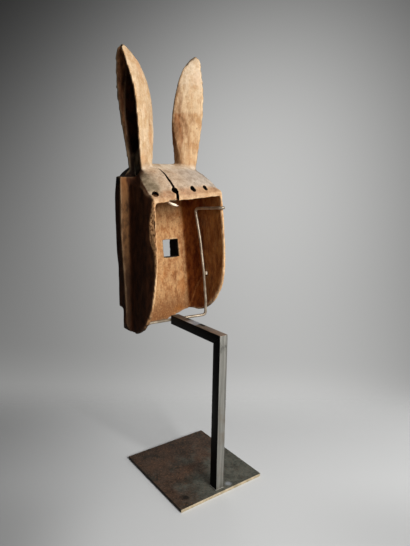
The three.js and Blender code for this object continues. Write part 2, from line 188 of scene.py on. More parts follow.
class Finish(Network):
    """A material under construction. Its tones are given as red, green and blue on a screen."""

    def __init__(self, name):
        self.material = bpy.data.materials.new(name)
        self.material.use_nodes = True
        super().__init__(self.material.node_tree)
        self.shader = self.tree.nodes["Principled BSDF"]

    def places(self):
        return self.node("ShaderNodeTexCoord", out="Object")

    def stretched(self, scale, shift=(0, 0, 0)):
        scale = scale if isinstance(scale, tuple) else (scale, scale, scale)
        return self.node("ShaderNodeMapping", Vector=self.places(), Location=shift, Scale=scale)

    def noise(self, scale, detail=4.0, rough=0.55, shift=(0, 0, 0)):
        """Noise from 0 to 1. scale is how many blobs go in a metre, or that for X, Y and Z."""
        return self.node(
            "ShaderNodeTexNoise", Vector=self.stretched(scale, shift),
            Scale=1.0, Detail=detail, Roughness=rough,
        )

    def cells(self, scale):
        return self.node("ShaderNodeTexVoronoi", Vector=self.stretched(scale), Scale=1.0)

    def painted(self, name):
        """A value that is stored on the mesh under this name."""
        return self.node("ShaderNodeAttribute", {"attribute_name": name}, out="Fac")

    def mix(self, amount, first, second):
        return self.node(
            "ShaderNodeMix", {"data_type": "RGBA"}, out=2, _0=amount, _6=first, _7=second,
        )

    def mottled(self, amount, first, second):
        return self.mix(amount, colour(*first), colour(*second))

    def tinted(self, tone, amount, tint):
        return self.mix(amount, tone, colour(*tint))

    def touched(self, tone, *touches):
        """The tone, and over it a share of each tint where its pattern goes from low to high."""
        for pattern, low, high, share, tint in touches:
            tone = self.tinted(tone, self.band(pattern, low, high) * share, tint)
        return tone

    def raised(self, height, distance):
        return self.node("ShaderNodeBump", Height=height, Distance=distance)

    def set(self, **sockets):
        for name, value in sockets.items():
            plug(self.tree, self.shader.inputs[name.replace("_", " ")], value)
        print("finish", self.material.name, "has", len(self.tree.nodes), "nodes")
        return self.material


# %% [markdown]
# ## Studio
# One soft box stands straight behind the mask, which is the side we see. It lights the ears, the
# domed top and the back of the hollow, and leaves the flanks in near darkness. A large, weak panel
# to the right lights the inside of the left wall, which throws a warm glow on the right one. A
# small lamp on the far side, high up, gives the stand and the floor behind it some light. The
# background is a formula in the sky, as a backdrop would need lamps of its own: one pale patch
# behind the object, which falls off as a smooth curve of the way across and up, and a plain grey
# below the horizon elsewhere, which the steel mirrors. The floor is a pale disc. It fades out
# before its edge, through a Mix Shader, so that no horizon cuts the picture.

# %% Lamps
LOOK_AT = (0, -0.05, 0.45)
LAMP_TINT = (1.0, 0.99, 0.972)
LAMPS = [
    # name, place, size, power and the place that it faces
    ("soft box", (0.02, 1.7, 1.2), 0.8, 46, LOOK_AT),
    ("side panel", (-1.35, 1.15, 0.85), 1.3, 9, LOOK_AT),
    ("front lamp", (-0.5, -1.3, 1.95), 0.7, 5.5, (0, 0, 0.5)),
]
for name, place, size, power, aim in LAMPS:
    light = bpy.data.lights.new(name, "AREA")
    light.shape = "SQUARE"
    light.size = size
    light.energy = power
    light.color = LAMP_TINT
    lamp = placed(name, light)
    lamp.location = place
    lamp.rotation_euler = (Vector(aim) - Vector(place)).to_track_quat("-Z", "Y").to_euler()
    print(name, "of", power, "W")

# %% Sky
PALE_WAY = Vector((-0.686, -0.721, -0.100)).normalized()
SKY_ACROSS = PALE_WAY.cross(Vector((0, 0, 1))).normalized()
SKY_UP = SKY_ACROSS.cross(PALE_WAY)
SKY_SPAN_ACROSS = (-0.58, 0.33)
SKY_SPAN_UP = (-0.38, 0.50)
SKY_TILT = (0.321, 0.332, -0.675)
SKY_ROUND = (4.787, 3.093, 5.34)
SKY_LIFT = (1.934, 5.676, -1.89, 0.448)
SKY_FRONT = (0.60, 0.80)
SKY_FOOT = (-0.27, -0.42)
SKY_FOOT_GAIN = 0.24
SKY_DARK = 0.012
BELOW_HORIZON = (-0.22, -0.50)
BELOW_LEVEL = 0.40
BLUE_SHARE = 0.985


def sky_fall(across, up):
    """The patch's level: a tilted plane, less what bends it down to the sides and upwards."""
    tilt = SKY_TILT[0] * across + SKY_TILT[1] * up + SKY_TILT[2]
    bend = across * across * (SKY_ROUND[0] + SKY_ROUND[1] * across + SKY_ROUND[2] * up)
    lift = up * up * (SKY_LIFT[0] + SKY_LIFT[1] * up + SKY_LIFT[2] * across)
    return 2.718 ** (tilt - bend - (lift + SKY_LIFT[3] * across * up))


world = bpy.data.worlds.new("studio")
world.use_nodes = True
bpy.context.scene.world = world
sky = Network(world.node_tree)
way = sky.node("ShaderNodeTexCoord", out="Generated")
ahead = sky.along(way, PALE_WAY)
safe = ahead.held(0.2, 1.0)
across = sky.along(way, SKY_ACROSS) / safe
up = sky.along(way, SKY_UP) / safe
front = sky.band(ahead, *SKY_FRONT)
below = sky.band(sky.along(way, (0, 0, 1)), *BELOW_HORIZON) * (1 - front)
level = sky_fall(across.held(*SKY_SPAN_ACROSS), up.held(*SKY_SPAN_UP))
level = level * (1 + SKY_FOOT_GAIN * sky.band(up, *SKY_FOOT))
level = level * front + below * BELOW_LEVEL + SKY_DARK
tint = sky.node("ShaderNodeCombineColor", Red=level, Green=level, Blue=level * BLUE_SHARE)
plug(sky.tree, sky.tree.nodes["Background"].inputs["Color"], tint)
print("sky is palest towards", [round(value, 2) for value in PALE_WAY])

# %% Floor
FLOOR_RADIUS = 2
FLOOR_SIDES = 96
SWEEP_WAY = (-0.543, -0.839, 0)
SWEEP_FROM_TO = (0.12, 0.42)
FLOOR_FADE = (0.9, 1.6)
# Painted shade on the floor: its tone darkens towards the camera's left, and a painted shadow
# darkens its two near corners.
SHADE_WAY = (-0.839, 0.543, 0)
SHADE_FROM_TO = (-0.55, -0.02)
FLOOR_SHADED = (0.36, 0.365, 0.37, 1)
FLOOR_PALE = (0.67, 0.68, 0.686, 1)
BLACK = (0, 0, 0, 1)
CORNER_SHADE_START = (-0.02, -0.22)
CORNER_SHADE_SIDES = ((0.05, 0.38), (-0.14, -0.34))
CORNERS_SHADE = 0.24


def edited(mesh, change):
    """The mesh after a change in Blender's editing form."""
    form = bmesh.new()
    form.from_mesh(mesh)
    change(form)
    form.to_mesh(mesh)
    form.free()
    return mesh


def floor_finish():
    finish = Finish("pale floor")
    back = finish.along(finish.places(), SWEEP_WAY)
    across = finish.along(finish.places(), SHADE_WAY)
    far = finish.measured("LENGTH", finish.places())
    # Painted shade: darker towards the camera's left and in the two near corners.
    tone = finish.mix(finish.band(across, *SHADE_FROM_TO), FLOOR_SHADED, FLOOR_PALE)
    right, left = (finish.band(across, *span) for span in CORNER_SHADE_SIDES)
    corners = finish.band(back, *CORNER_SHADE_START) * (right + left)
    finish.set(Base_Color=finish.mix(corners * CORNERS_SHADE, tone, BLACK), Roughness=0.75)
    gone = 1 - (1 - finish.band(back, *SWEEP_FROM_TO)) * (1 - finish.band(far, *FLOOR_FADE))
    clear = finish.node("ShaderNodeBsdfTransparent")
    body = Wire(finish.tree, finish.shader.outputs[0])
    mixed = finish.node("ShaderNodeMixShader", _0=gone, _1=body, _2=clear)
    plug(finish.tree, finish.tree.nodes["Material Output"].inputs["Surface"], mixed)
    return finish.material


disc = edited(bpy.data.meshes.new("floor"), lambda form: bmesh.ops.create_circle(
    form, cap_ends=True, radius=FLOOR_RADIUS, segments=FLOOR_SIDES,
))
disc.materials.append(floor_finish())
floor = placed("floor", disc)

# %% [markdown]
# ## Wood finish
# The mask is one wood with several ages of surface: pale and handled on the ears, grey and dusty on
# the dome, orange-brown in the hollow, nearly black where the old coat survives. One material does
# it all, because separate ones would meet in hard lines. The mesh carries painted values, named
# after what they say, and the shader lays one mottled tone over the other by them. Some values are
# painted light and shade: darker in the grooves, on the right ear's inward faces, on the hollow's
# side walls and in its deep corner, near black where little light reaches, and paler on the dome's
# crest and along one arris. Then the shader adds what all old wood has: rubbed edges, streaks that
# run up the log, flecks, pits and small worm holes. The same patterns raise the surface a little
# through a Bump node.

# %% Patterns of the wood
WOOD_PATTERNS = {
    # blobs in a metre along X, Y and Z, detail, roughness and shift
    "fibre": ((520, 520, 36), 5, 0.62, (0, 0, 0)),
    "streak": ((110, 110, 13), 4, 0.6, (3, 1, 0)),
    "cloud": ((30, 30, 17), 4, 0.55, (0, 5, 0)),
    "patch": ((85, 85, 50), 6, 0.7, (7, 0, 2)),
    "fleck": ((240, 240, 170), 4, 0.65, (1, 2, 3)),
    "freckle": ((460, 460, 300), 3, 0.65, (6, 2, 8)),
    "grit": ((900, 900, 600), 3, 0.7, (0, 0, 0)),
    "pit": ((330, 300, 210), 3, 0.6, (2, 0, 1)),
    "spread": ((40, 40, 30), 0, 0.55, (9, 9, 9)),
}


def wood_patterns(finish):
    """The patterns by name, with the height up the mask and the mottle of every tone."""
    patterns = {name: finish.noise(*values) for name, values in WOOD_PATTERNS.items()}
    patterns["height"] = finish.along(finish.places(), (0, 0, 1))
    patterns["mottle"] = finish.band(patterns["patch"], 0.36, 0.62)
    return patterns


# %% Tones of the wood
# Each tone is its darker and its lighter colour, and its touches: pattern, from, to, share, tint.
BASE_COAT = ((37, 16, 3), (64, 32, 12), [("cloud", 0.55, 0.72, 0.5, (90, 54, 30))])
WOOD_LAYERS = [
    # painted value, share and tone, from the lowest layer to the highest
    ("face", 1.0, (78, 52, 33), (116, 82, 54)),
    ("frame", 1.0, (62, 40, 22), (112, 77, 46), [
        ("height", 0.50, 0.38, 0.85, (38, 22, 12)),
        ("height", 0.56, 0.60, 0.6, (122, 76, 40)),
    ]),
    ("hollow", 1.0, (160, 108, 66), (196, 152, 104), [
        ("cloud", 0.50, 0.64, 0.5, (178, 112, 56)),
        ("patch", 0.44, 0.32, 0.45, (120, 72, 38)),
        ("streak", 0.46, 0.34, 0.35, (112, 68, 36)),
        ("height", 0.37, 0.315, 0.8, (114, 72, 40)),
        ("freckle", 0.54, 0.64, 0.34, (216, 166, 112)),
        ("freckle", 0.44, 0.34, 0.40, (96, 54, 26)),
        ("fleck", 0.43, 0.35, 0.45, (104, 58, 26)),
    ]),
    # Painted shade and painted warm bounce light: a darker, redder tone on the hollow's side walls.
    ("flank", 0.8, (118, 62, 16), (160, 98, 36)),
    # Painted shade in the deep part of the hollow's right wall.
    ("deep", 1.0, (92, 40, 10), (140, 78, 30)),
    ("edge", 1.0, (150, 90, 42), (200, 144, 88)),
    ("dome", 1.0, (166, 141, 116), (201, 178, 153), [
        ("cloud", 0.50, 0.66, 0.35, (186, 150, 116)),
        ("freckle", 0.54, 0.64, 0.35, (134, 104, 78)),
        ("freckle", 0.44, 0.34, 0.3, (214, 196, 174)),
    ]),
    ("grey", 0.7, (164, 152, 140), (196, 184, 171)),
    ("rim", 0.8, (146, 104, 72), (186, 146, 110), [
        ("patch", 0.52, 0.62, 0.6, (166, 100, 52)),
        ("fleck", 0.42, 0.34, 0.6, (92, 54, 28)),
    ]),
    ("ear", 1.0, (186, 150, 108), (210, 183, 148), [
        ("cloud", 0.50, 0.68, 0.6, (192, 142, 96)),
        ("streak", 0.52, 0.70, 0.28, (150, 104, 64)),
        ("freckle", 0.55, 0.66, 0.42, (150, 92, 54)),
        ("freckle", 0.42, 0.34, 0.3, (226, 200, 160)),
    ]),
    # Chalky pale wood on the right ear's top, and a painted highlight on the dome's crest.
    ("chalky", 0.8, (208, 184, 155), (231, 214, 190)),
    ("amber", 0.42, (160, 110, 64), (196, 154, 106)),
    # Brown wood, with painted shade on the right ear's faces turned inwards, away from the light.
    ("brown", 0.95, (78, 34, 8), (138, 78, 30)),
    # The old coat in the ears' grooves, darkened further as painted shade in the recess.
    ("groove", 1.0, (28, 8, 2), (68, 34, 12)),
    # Painted shade: near black wherever little light reaches.
    ("sooty", 1.0, (9, 4, 1), (9, 4, 1)),
]


def layered(finish, patterns):
    """The base coat, and over it every painted area in its own tone."""
    def toned(dark, light, touches=()):
        tone = finish.mottled(patterns["mottle"], dark, light)
        return finish.touched(tone, *((patterns[name], *touch) for name, *touch in touches))

    tone = toned(*BASE_COAT)
    for name, share, *recipe in WOOD_LAYERS:
        tone = finish.mix(finish.painted(name) * share, tone, toned(*recipe))
    return tone


# %% Wear, marks and relief
WOOD_SPECULAR = 0.16
WORM_CELLS = (75, 75, 55)
WOOD_RELIEF = {
    "fibre": 0.35, "streak": 0.3, "grit": 0.2, "patch": 0.6, "fleck": 0.35, "freckle": 0.25,
}


def worn_share(finish):
    """How worn each place is: fully where hands reach, and elsewhere hardly."""
    handled = finish.painted("ear")
    for area in ("dome", "edge", "hollow"):
        handled = handled + finish.painted(area)
    handled = handled.clipped() * (1 - finish.painted("groove")) * (1 - finish.painted("sooty"))
    return finish.painted("worn") * (0.22 + 0.78 * handled)


def make_wood():
    finish = Finish("carved wood")
    patterns = wood_patterns(finish)
    worn, bare = worn_share(finish), finish.painted("bare")
    pit = finish.band(patterns["pit"], 0.53, 0.38)
    hole = finish.band(finish.cells(WORM_CELLS), 0.13, 0.07)
    hole = hole * finish.band(patterns["spread"], 0.5, 0.56)
    smoke = finish.band(patterns["patch"], 0.30, 0.66)

    tone = layered(finish, patterns)
    fresh = finish.mottled(patterns["mottle"], (206, 160, 112), (240, 210, 168))
    tone = finish.mix(worn * 0.65, tone, fresh)
    tone = finish.mix(bare, tone, finish.mottled(pit, (208, 158, 110), (118, 74, 42)))
    smoky = finish.mottled(smoke, (86, 76, 56), (140, 124, 98))
    tone = finish.mix(finish.painted("stain") * 0.8, tone, smoky)
    tone = finish.touched(
        tone, (patterns["fibre"], 0.60, 0.36, 0.165, (70, 38, 18)),
        (patterns["fleck"], 0.60, 0.70, 0.27, (84, 46, 22)),
    )
    tone = finish.tinted(tone, hole * 0.5, (84, 50, 28))
    # Painted shade: the faces left by the cuts, inside the crack, the rim's holes and the eyes, go
    # near black.
    tone = finish.tinted(tone, finish.painted("cut"), (10, 5, 3))
    tone = finish.tinted(tone, finish.painted("split"), (250, 232, 206))

    height = hole * -0.5 - bare * pit * 0.5
    for name, share in WOOD_RELIEF.items():
        height = height + patterns[name] * share
    dull = 0.76 + patterns["grit"] * 0.15 - worn * 0.12 + finish.painted("sooty") * 0.2
    return finish.set(
        Base_Color=tone,
        Roughness=dull.clipped(),
        Specular_IOR_Level=WOOD_SPECULAR,
        Normal=finish.raised(height, 1.0 * MM),
    )


wood_finish = make_wood()

# %% [markdown]
# ## Steel finishes
# The plate is raw hot-rolled steel whose scale has gone blotchy brown, but grey-green round the
# post, with a few single spots. The bars are plainer: mill skin with streaks along their length.
# On plate and bars, the faces towards +X, which face away from the lamps, get painted shade, near
# black, and the plate's faces towards +Y a painted highlight. The arm carries painted reflections
# of the mask above it, in bands along its length. The rod is duller, as bare drawn wire is. All
# three are metals in the shader, so their tone comes as much from what they mirror as from their
# colour, and blotches change both the colour and how sharp the mirror is.

# %% Plate steel
PLATE_SPOTS = [
    # place, width, share and tint
    ((0.0727, 0.0775, 0.0062), 0.010, 0.85, (30, 31, 28)),
    ((0.034, 0.036, 0.0062), 0.020, 0.45, (44, 50, 44)),
    ((-0.0215, 0.0883, 0.0062), 0.009, 0.6, (190, 194, 200)),
]


def make_plate_steel():
    finish = Finish("plate steel")
    place = finish.places()
    cloud = finish.noise(16, detail=6, rough=0.62)
    patch = finish.noise(70, detail=6, rough=0.7, shift=(4, 1, 0))
    broad = finish.noise(38, detail=4, rough=0.6, shift=(8, 3, 0))
    speck = finish.noise(280, detail=4, rough=0.7)
    fine = finish.noise(420, detail=3)
    mottle = finish.band(patch, 0.34, 0.64)
    brown = finish.touched(
        finish.mottled(mottle, (68, 54, 44), (101, 82, 69)),
        (broad, 0.50, 0.62, 0.5, (104, 78, 62)), (broad, 0.47, 0.36, 0.6, (50, 49, 43)),
    )
    bare = finish.mottled(mottle, (86, 89, 81), (120, 124, 114))
    from_post = finish.along(place, (-0.6, 0.8, 0)) + (cloud - 0.5) * 0.34
    near_post = finish.band(from_post, -0.03, 0.06)
    tone = finish.touched(
        finish.mix(near_post * 0.8, brown, bare),
        (speck, 0.53, 0.66, 0.75 - 0.45 * near_post, (140, 102, 75)),
        (speck, 0.46, 0.34, 0.6, (40, 33, 29)),
    )
    for spot, wide, share, tint in PLATE_SPOTS:
        away = finish.measured("DISTANCE", place, spot) + (patch - 0.5) * 0.016
        tone = finish.touched(tone, (away, wide, wide * 0.3, share, tint))
    # Painted shade: the faces marked scale, those towards +X, go near black.
    tone = finish.tinted(tone, finish.painted("scale"), (20, 17, 14))
    # Painted highlight: the faces towards +Y, where the soft box falls, get a pale tone and less
    # metal.
    sawn = finish.mottled(mottle, (150, 136, 108), (190, 174, 146))
    tone = finish.mix(finish.painted("sawn"), tone, sawn)
    return finish.set(
        Base_Color=tone,
        Metallic=0.7 - 0.5 * finish.painted("sawn"),
        Roughness=(0.48 + patch * 0.22 + fine * 0.06).clipped(),
        Normal=finish.raised(patch * 0.4 + speck * 0.2 + fine * 0.12, 0.25 * MM),
    )


plate_finish = make_plate_steel()


# %% Bar steel
def arm_painted_reflections(finish, tone, level, cloud):
    """Painted reflections of the mask and studio: tones along the level bar, whose value level is
    1.
    """
    along_arm = finish.along(finish.places(), (0, 1, 0))
    across_arm = finish.along(finish.places(), (1, 0, 0)) + cloud * 0.004
    warm = level * (0.4 + 0.6 * finish.band(along_arm, 0.045, 0.07))
    pale = level * finish.band(along_arm, 0.018, 0.012)
    dark = level * finish.band(along_arm, 0.032, 0.027) * 0.85
    dark = dark * finish.band(across_arm, 0.006, 0.001)
    return finish.touched(
        tone, (along_arm, -0.01, -0.05, level * 0.75, (80, 84, 85)),
        (along_arm, 0.026, 0.034, warm, (188, 166, 148)),
        (along_arm, -0.025, 0.0, pale, (208, 224, 238)),
        (along_arm, 0.010, 0.015, dark, (40, 40, 38)),
    )


def make_bar_steel():
    finish = Finish("bar steel")
    upright = finish.noise((260, 260, 9), detail=5, rough=0.65)
    lengthwise = finish.noise((260, 9, 260), detail=5, rough=0.65, shift=(5, 0, 2))
    cloud = finish.noise((34, 26, 22), detail=5, rough=0.6, shift=(2, 0, 1))
    fine = finish.noise(700, detail=2)
    level = finish.painted("level")
    grain = upright * (1 - level) + lengthwise * level
    tone = finish.mottled(finish.band(grain, 0.3, 0.7), (130, 128, 122), (166, 164, 156))
    tone = finish.touched(
        arm_painted_reflections(finish, tone, level, cloud), (cloud, 0.56, 0.70, 0.35, (128, 108, 88)),
        (cloud, 0.44, 0.32, 0.65, (62, 60, 56)),
    )
    # Painted shade: the faces marked scale, those towards +X, go near black.
    tone = finish.tinted(tone, finish.painted("scale"), (15, 14, 11))
    return finish.set(
        Base_Color=tone,
        Metallic=0.9,
        Roughness=(0.40 + grain * 0.12 + fine * 0.08 + level * 0.06).clipped(),
        Normal=finish.raised(grain * 0.3 + fine * 0.15, 0.12 * MM),
    )


bar_finish = make_bar_steel()


# %% Rod steel
def make_rod_steel():
    finish = Finish("rod steel")
    cloud = finish.noise(60, detail=5)
    fine = finish.noise(900, detail=2)
    tone = finish.mottled(finish.band(cloud, 0.35, 0.65), (134, 120, 102), (176, 162, 142))
    return finish.set(
        Base_Color=finish.touched(tone, (cloud, 0.6, 0.72, 0.6, (120, 94, 70))),
        Metallic=0.6,
        Roughness=(0.34 + fine * 0.16).clipped(),
        Normal=finish.raised(cloud * 0.3 + fine * 0.1, 0.1 * MM),
    )


rod_finish = make_rod_steel()

# %% [markdown]
# ## Helpers for meshes
# Some shapes are quickest as a list of points. The helpers below make such a mesh, read it as an
# array, change it, or store a value on it under a name that a finish can read.


# %% Meshes from points
def mesh_of(points, edges=(), faces=()):
    """A mesh from points in millimetres."""
    mesh = bpy.data.meshes.new("draft")
    mesh.from_pydata([tuple(value * MM for value in point) for point in points], edges, faces)
    mesh.update()
    return mesh


def path_of(points, closed=False):
    last = [(len(points) - 1, 0)] if closed else []
    return mesh_of(points, [(i, i + 1) for i in range(len(points) - 1)] + last)


def outward(mesh):
    return edited(mesh, lambda form: bmesh.ops.recalc_face_normals(form, faces=form.faces))


def lofted(rings):
    """A closed skin over a row of rings, each a list of equally many points."""
    size = len(rings[0])
    last = size * (len(rings) - 1)
    faces = [tuple(range(size)), tuple(range(last, last + size))]
    for first in range(0, last, size):
        for step in range(size):
            a, b = first + step, first + (step + 1) % size
            faces.append((a, b, b + size, a + size))
    return outward(mesh_of([point for ring in rings for point in ring], faces=faces))


# %% Reading and storing values
def read(items, field, width, kind=float):
    flat = np.zeros(len(items) * width, dtype=kind)
    items.foreach_get(field, flat)
    return flat.reshape(-1, width)


def read_points(mesh):
    return read(mesh.vertices, "co", 3) / MM


def read_normals(mesh):
    return read(mesh.vertex_normals, "vector", 3, np.float32).astype(float)


def write_points(mesh, points):
    mesh.vertices.foreach_set("co", (points * MM).ravel())
    mesh.update()


def with_values(mesh, domain="POINT", **values):
    """Stores one value, or one vector, for each point or face, under the name given."""
    for name, stored in values.items():
        stored = np.asarray(stored, dtype=np.float32)
        kind, field = ("FLOAT_VECTOR", "vector") if stored.ndim == 2 else ("FLOAT", "value")
        mesh.attributes.new(name, kind, domain).data.foreach_set(field, stored.ravel())
    return mesh


# %% Modifiers and pieces
def result_of(draft):
    """The plain mesh that a draft's modifiers make. The draft itself goes."""
    seen = draft.evaluated_get(bpy.context.evaluated_depsgraph_get())
    made = bpy.data.meshes.new_from_object(seen)
    bpy.data.objects.remove(draft)
    return made


def with_modifier(mesh, kind, **settings):
    draft = placed("draft", mesh)
    modifier = draft.modifiers.new(kind.lower(), kind)
    for key, value in settings.items():
        setattr(modifier, key, value)
    return result_of(draft)


def combined(mesh, tool_mesh, operation="DIFFERENCE"):
    """The mesh with a tool cut from it, or joined to it."""
    tool = placed("tool", tool_mesh)
    made = with_modifier(mesh, "BOOLEAN", object=tool, operation=operation, solver="MANIFOLD")
    bpy.data.objects.remove(tool)
    return made


def keep_piece(name, mesh, material, slot, *nodes):
    """Hangs a finished mesh on the object's one body, in place of its solids."""
    mesh.name = name
    mesh.materials.clear()
    mesh.materials.append(material)
    piece = placed(name, mesh)
    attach(piece, "root")
    if nodes:
        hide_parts(*nodes)
    print("kept", name, "with", len(mesh.polygons), "faces")


# %% [markdown]
# ## Geometry Nodes recipes
# What repeats, or follows a path, is made with Geometry Nodes: a tree of steps with named sizes,
# which turns a plain set of points or a path into the finished shape. Here that is the bent rod,
# the drills for the holes in the rim and the beads of the welds. Each tree is run once, and its
# result is kept as a plain mesh.

# %% Geometry Nodes helper
SOCKET = {float: "NodeSocketFloat", int: "NodeSocketInt", bpy.types.Material: "NodeSocketMaterial"}


class Recipe(Network):
    """A Geometry Nodes tree under construction. Its sizes are named inputs."""

    def __init__(self, name, **sizes):
        tree = bpy.data.node_groups.new(name, "GeometryNodeTree")
        super().__init__(tree)
        sockets = tree.interface
        for way in ("OUTPUT", "INPUT"):
            sockets.new_socket("Geometry", in_out=way, socket_type="NodeSocketGeometry")
        self.values = {}
        for label, value in sizes.items():
            made = sockets.new_socket(label, in_out="INPUT", socket_type=SOCKET[type(value)])
            self.values[made.identifier] = value
        self.start = tree.nodes.new("NodeGroupInput")
        self.end = tree.nodes.new("NodeGroupOutput")

    def given(self, name):
        return Wire(self.tree, self.start.outputs[name])

    def stored(self, name, kind):
        return self.node("GeometryNodeInputNamedAttribute", {"data_type": kind}, Name=name)

    def evenly(self, line, step):
        return self.node("GeometryNodeResampleCurve", {"mode": "LENGTH"}, Curve=line, Length=step)

    def run(self, result, mesh):
        """Ends the tree with this result and returns what it makes of the mesh."""
        whole = self.node("GeometryNodeRealizeInstances", Geometry=result)
        finish = self.given("finish")
        whole = self.node("GeometryNodeSetMaterial", Geometry=whole, Material=finish)
        plug(self.tree, self.end.inputs[0], whole)
        draft = placed("draft", mesh)
        modifier = draft.modifiers.new("recipe", "NODES")
        modifier.node_group = self.tree
        for identifier, value in self.values.items():
            modifier[identifier] = value
        return result_of(draft)


# %% [markdown]
# ## The carved mask
# The solid model has the right form but crisp machine edges. A real carving has none: a blade
# leaves shallow scoops, edges wear round, and insects eat the soft wood. So the solid is turned
# into an even skin of small faces, which is then moved point by point. Remeshing is chosen over
# sculpting on the solid's own faces, because those are long slivers that can't hold fine relief.
# What is big and ragged, the eaten corner, is bitten off before the remesh, which softens it.
# What has to stay crisp, the crack, the holes in the rim and the square eyes, is cut after it.

# %% Noise for the surface
HASH = np.array((127.1, 311.7, 74.7))
HASH_SEED = 17.3
HASH_SPREAD = 43758.5453
AXIS_SEED = 5.7


def corner_value(cell, seed):
    mixed = np.sin(cell @ HASH + seed * HASH_SEED) * HASH_SPREAD
    return mixed - np.floor(mixed)


def rough(spots, size, seed, stretch=(1, 1, 1)):
    """Smooth noise from -1 to 1 at spots in mm, with blobs about size mm across."""
    scaled = spots / (size * np.array(stretch))
    cell = np.floor(scaled)
    part = scaled - cell
    part = part * part * (3 - 2 * part)
    total = np.zeros(len(spots))
    for corner in itertools.product((0, 1), repeat=3):
        weight = np.prod(np.where(corner, part, 1 - part), axis=1)
        total += weight * corner_value(cell + corner, seed)
    return 2 * total - 1


def scoops(spots, size, seed, stretch=(1, 1, 1)):
    """Distance to the nearest of scattered points, 0 at the points: the cuts of a curved blade."""
    scaled = spots / (size * np.array(stretch))
    cell = np.floor(scaled)
    nearest = np.full(len(spots), 9.0)
    for step in itertools.product((-1, 0, 1), repeat=3):
        near = cell + step
        jitter = [corner_value(near, seed + axis * AXIS_SEED) for axis in (1, 2, 3)]
        apart = near + np.stack(jitter, axis=1) - scaled
        nearest = np.minimum(nearest, np.sqrt((apart ** 2).sum(axis=1)))
    return nearest


# %% Steps and blobs
def rise(value, low, high):
    """0 at low, 1 at high, with a smooth rise between; high may be the smaller one."""
    part = np.clip((value - low) / (high - low), 0, 1)
    return part * part * (3 - 2 * part)


def blob(*spans):
    """1 at one spot, falling off all round it. Each span is values, their middle and a reach."""
    return np.exp(-sum(((values - middle) / reach) ** 2 for values, middle, reach in spans))


def averaged(values, edges, rounds=1):
    """Each value moved half-way to the mean of its neighbours, a few times over."""
    ends = np.concatenate((edges[:, 0], edges[:, 1]))
    others = np.concatenate((edges[:, 1], edges[:, 0]))
    total = len(values)
    count = np.bincount(ends, minlength=total)
    for _ in range(rounds):
        columns = values.reshape(total, -1).T
        sums = [np.bincount(ends, weights=column[others], minlength=total) for column in columns]
        mean = (np.array(sums) / np.maximum(count, 1)).T.reshape(values.shape)
        values = (values + mean) / 2
    return values


# %% The eaten corner of the left wall
SAME_POINT = 1e-6
BITE_X = 89
BITE_Y = -10.5
BITES = [
    # height and radius
    (553, 9), (544, 12), (535, 10.5), (527, 13), (517, 12), (508, 13), (499, 11), (490, 12),
    (481, 10), (471, 10.5), (461, 9), (449, 9.5), (437, 8.5), (424, 9), (410, 8), (396, 8),
]


def joined_copy(node):
    """A copy of a solid's mesh in which the loose triangles share their points."""
    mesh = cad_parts[node].data.copy()
    mesh.materials.clear()
    return edited(
        mesh, lambda form: bmesh.ops.remove_doubles(form, verts=form.verts, dist=SAME_POINT),
    )


def add_bites(form):
    """Ragged balls along the outer corner of the wall's edge."""
    for number, (height, size) in enumerate(BITES):
        shift = 1.2 * math.sin(number * 2.4)
        place = Matrix.Translation(Vector((BITE_X + shift, BITE_Y - 0.6 * shift, height)) * MM)
        ball = bmesh.ops.create_icosphere(form, subdivisions=3, radius=size * MM, matrix=place)
        points = np.array([vert.co[:] for vert in ball["verts"]]) / MM
        swell = 1 + 0.16 * rough(points, 7, 31)
        middle = np.array(place.translation) / MM
        for vert, point in zip(ball["verts"], middle + (points - middle) * swell[:, None]):
            vert.co = Vector(point) * MM


bitten = combined(joined_copy("mask"), edited(bpy.data.meshes.new("bites"), add_bites))
print("bitten solid:", len(bitten.vertices), "points")

# %% An even skin
SKIN_MM = 2.37
skin = with_modifier(
    bitten, "REMESH", mode="VOXEL", voxel_size=SKIN_MM * MM, use_smooth_shade=True,
)
print("even skin:", len(skin.vertices), "points")

# %% Areas of the skin
HOLLOW_HALF = 77.5
HOLLOW_FOOT_Z = 320
HOLLOW_BACK_Y = -116
HOLLOW_BACK_LEAN = 0.152
EATEN_REACH = ((400, 434, 462, 490, 522, 548), (-14, -15, -18, -30, -30, -24))


def inside_hollow(spots):
    x, y, z = spots.T
    back = HOLLOW_BACK_Y - HOLLOW_BACK_LEAN * (z - HOLLOW_FOOT_Z)
    inside = rise(HOLLOW_HALF - np.abs(x), -0.6, 0.8) * rise(y, back - 4, back - 2)
    return inside * rise(z, 594, 590)


def eaten_corner(spots):
    """The gnawed edge, which reaches furthest in below its top."""
    x, y, z = spots.T
    reach = np.interp(z, *EATEN_REACH)
    near = rise(x, 78.2, 80.5) * rise(y - reach, -4, 1)
    return near * rise(z, 392, 470) * rise(z, 562, 556)


def lower_lip(spots):
    """The middle of the front's lower edge, which hangs a little lower."""
    x, y, z = spots.T
    return blob((x, -10, 7)) * rise(z, 312, 304) * rise(-y, 100, 108)


def kept_wear(spots):
    """Less than 1 where the low edges were never rubbed pale."""
    x, y, z = spots.T
    low_rim = 0.8 * rise(-y, 96, 106) * rise(z, 336, 326)
    low_edge = 0.7 * rise(x, 60, 70) * rise(-y, 106, 96) * rise(z, 385, 325)
    return (1 - low_rim) * (1 - low_edge)


# %% Carve and wear the skin
CARVE_MM = 0.8
LIP_MM = 3
SCOOP_LEVEL = 0.6


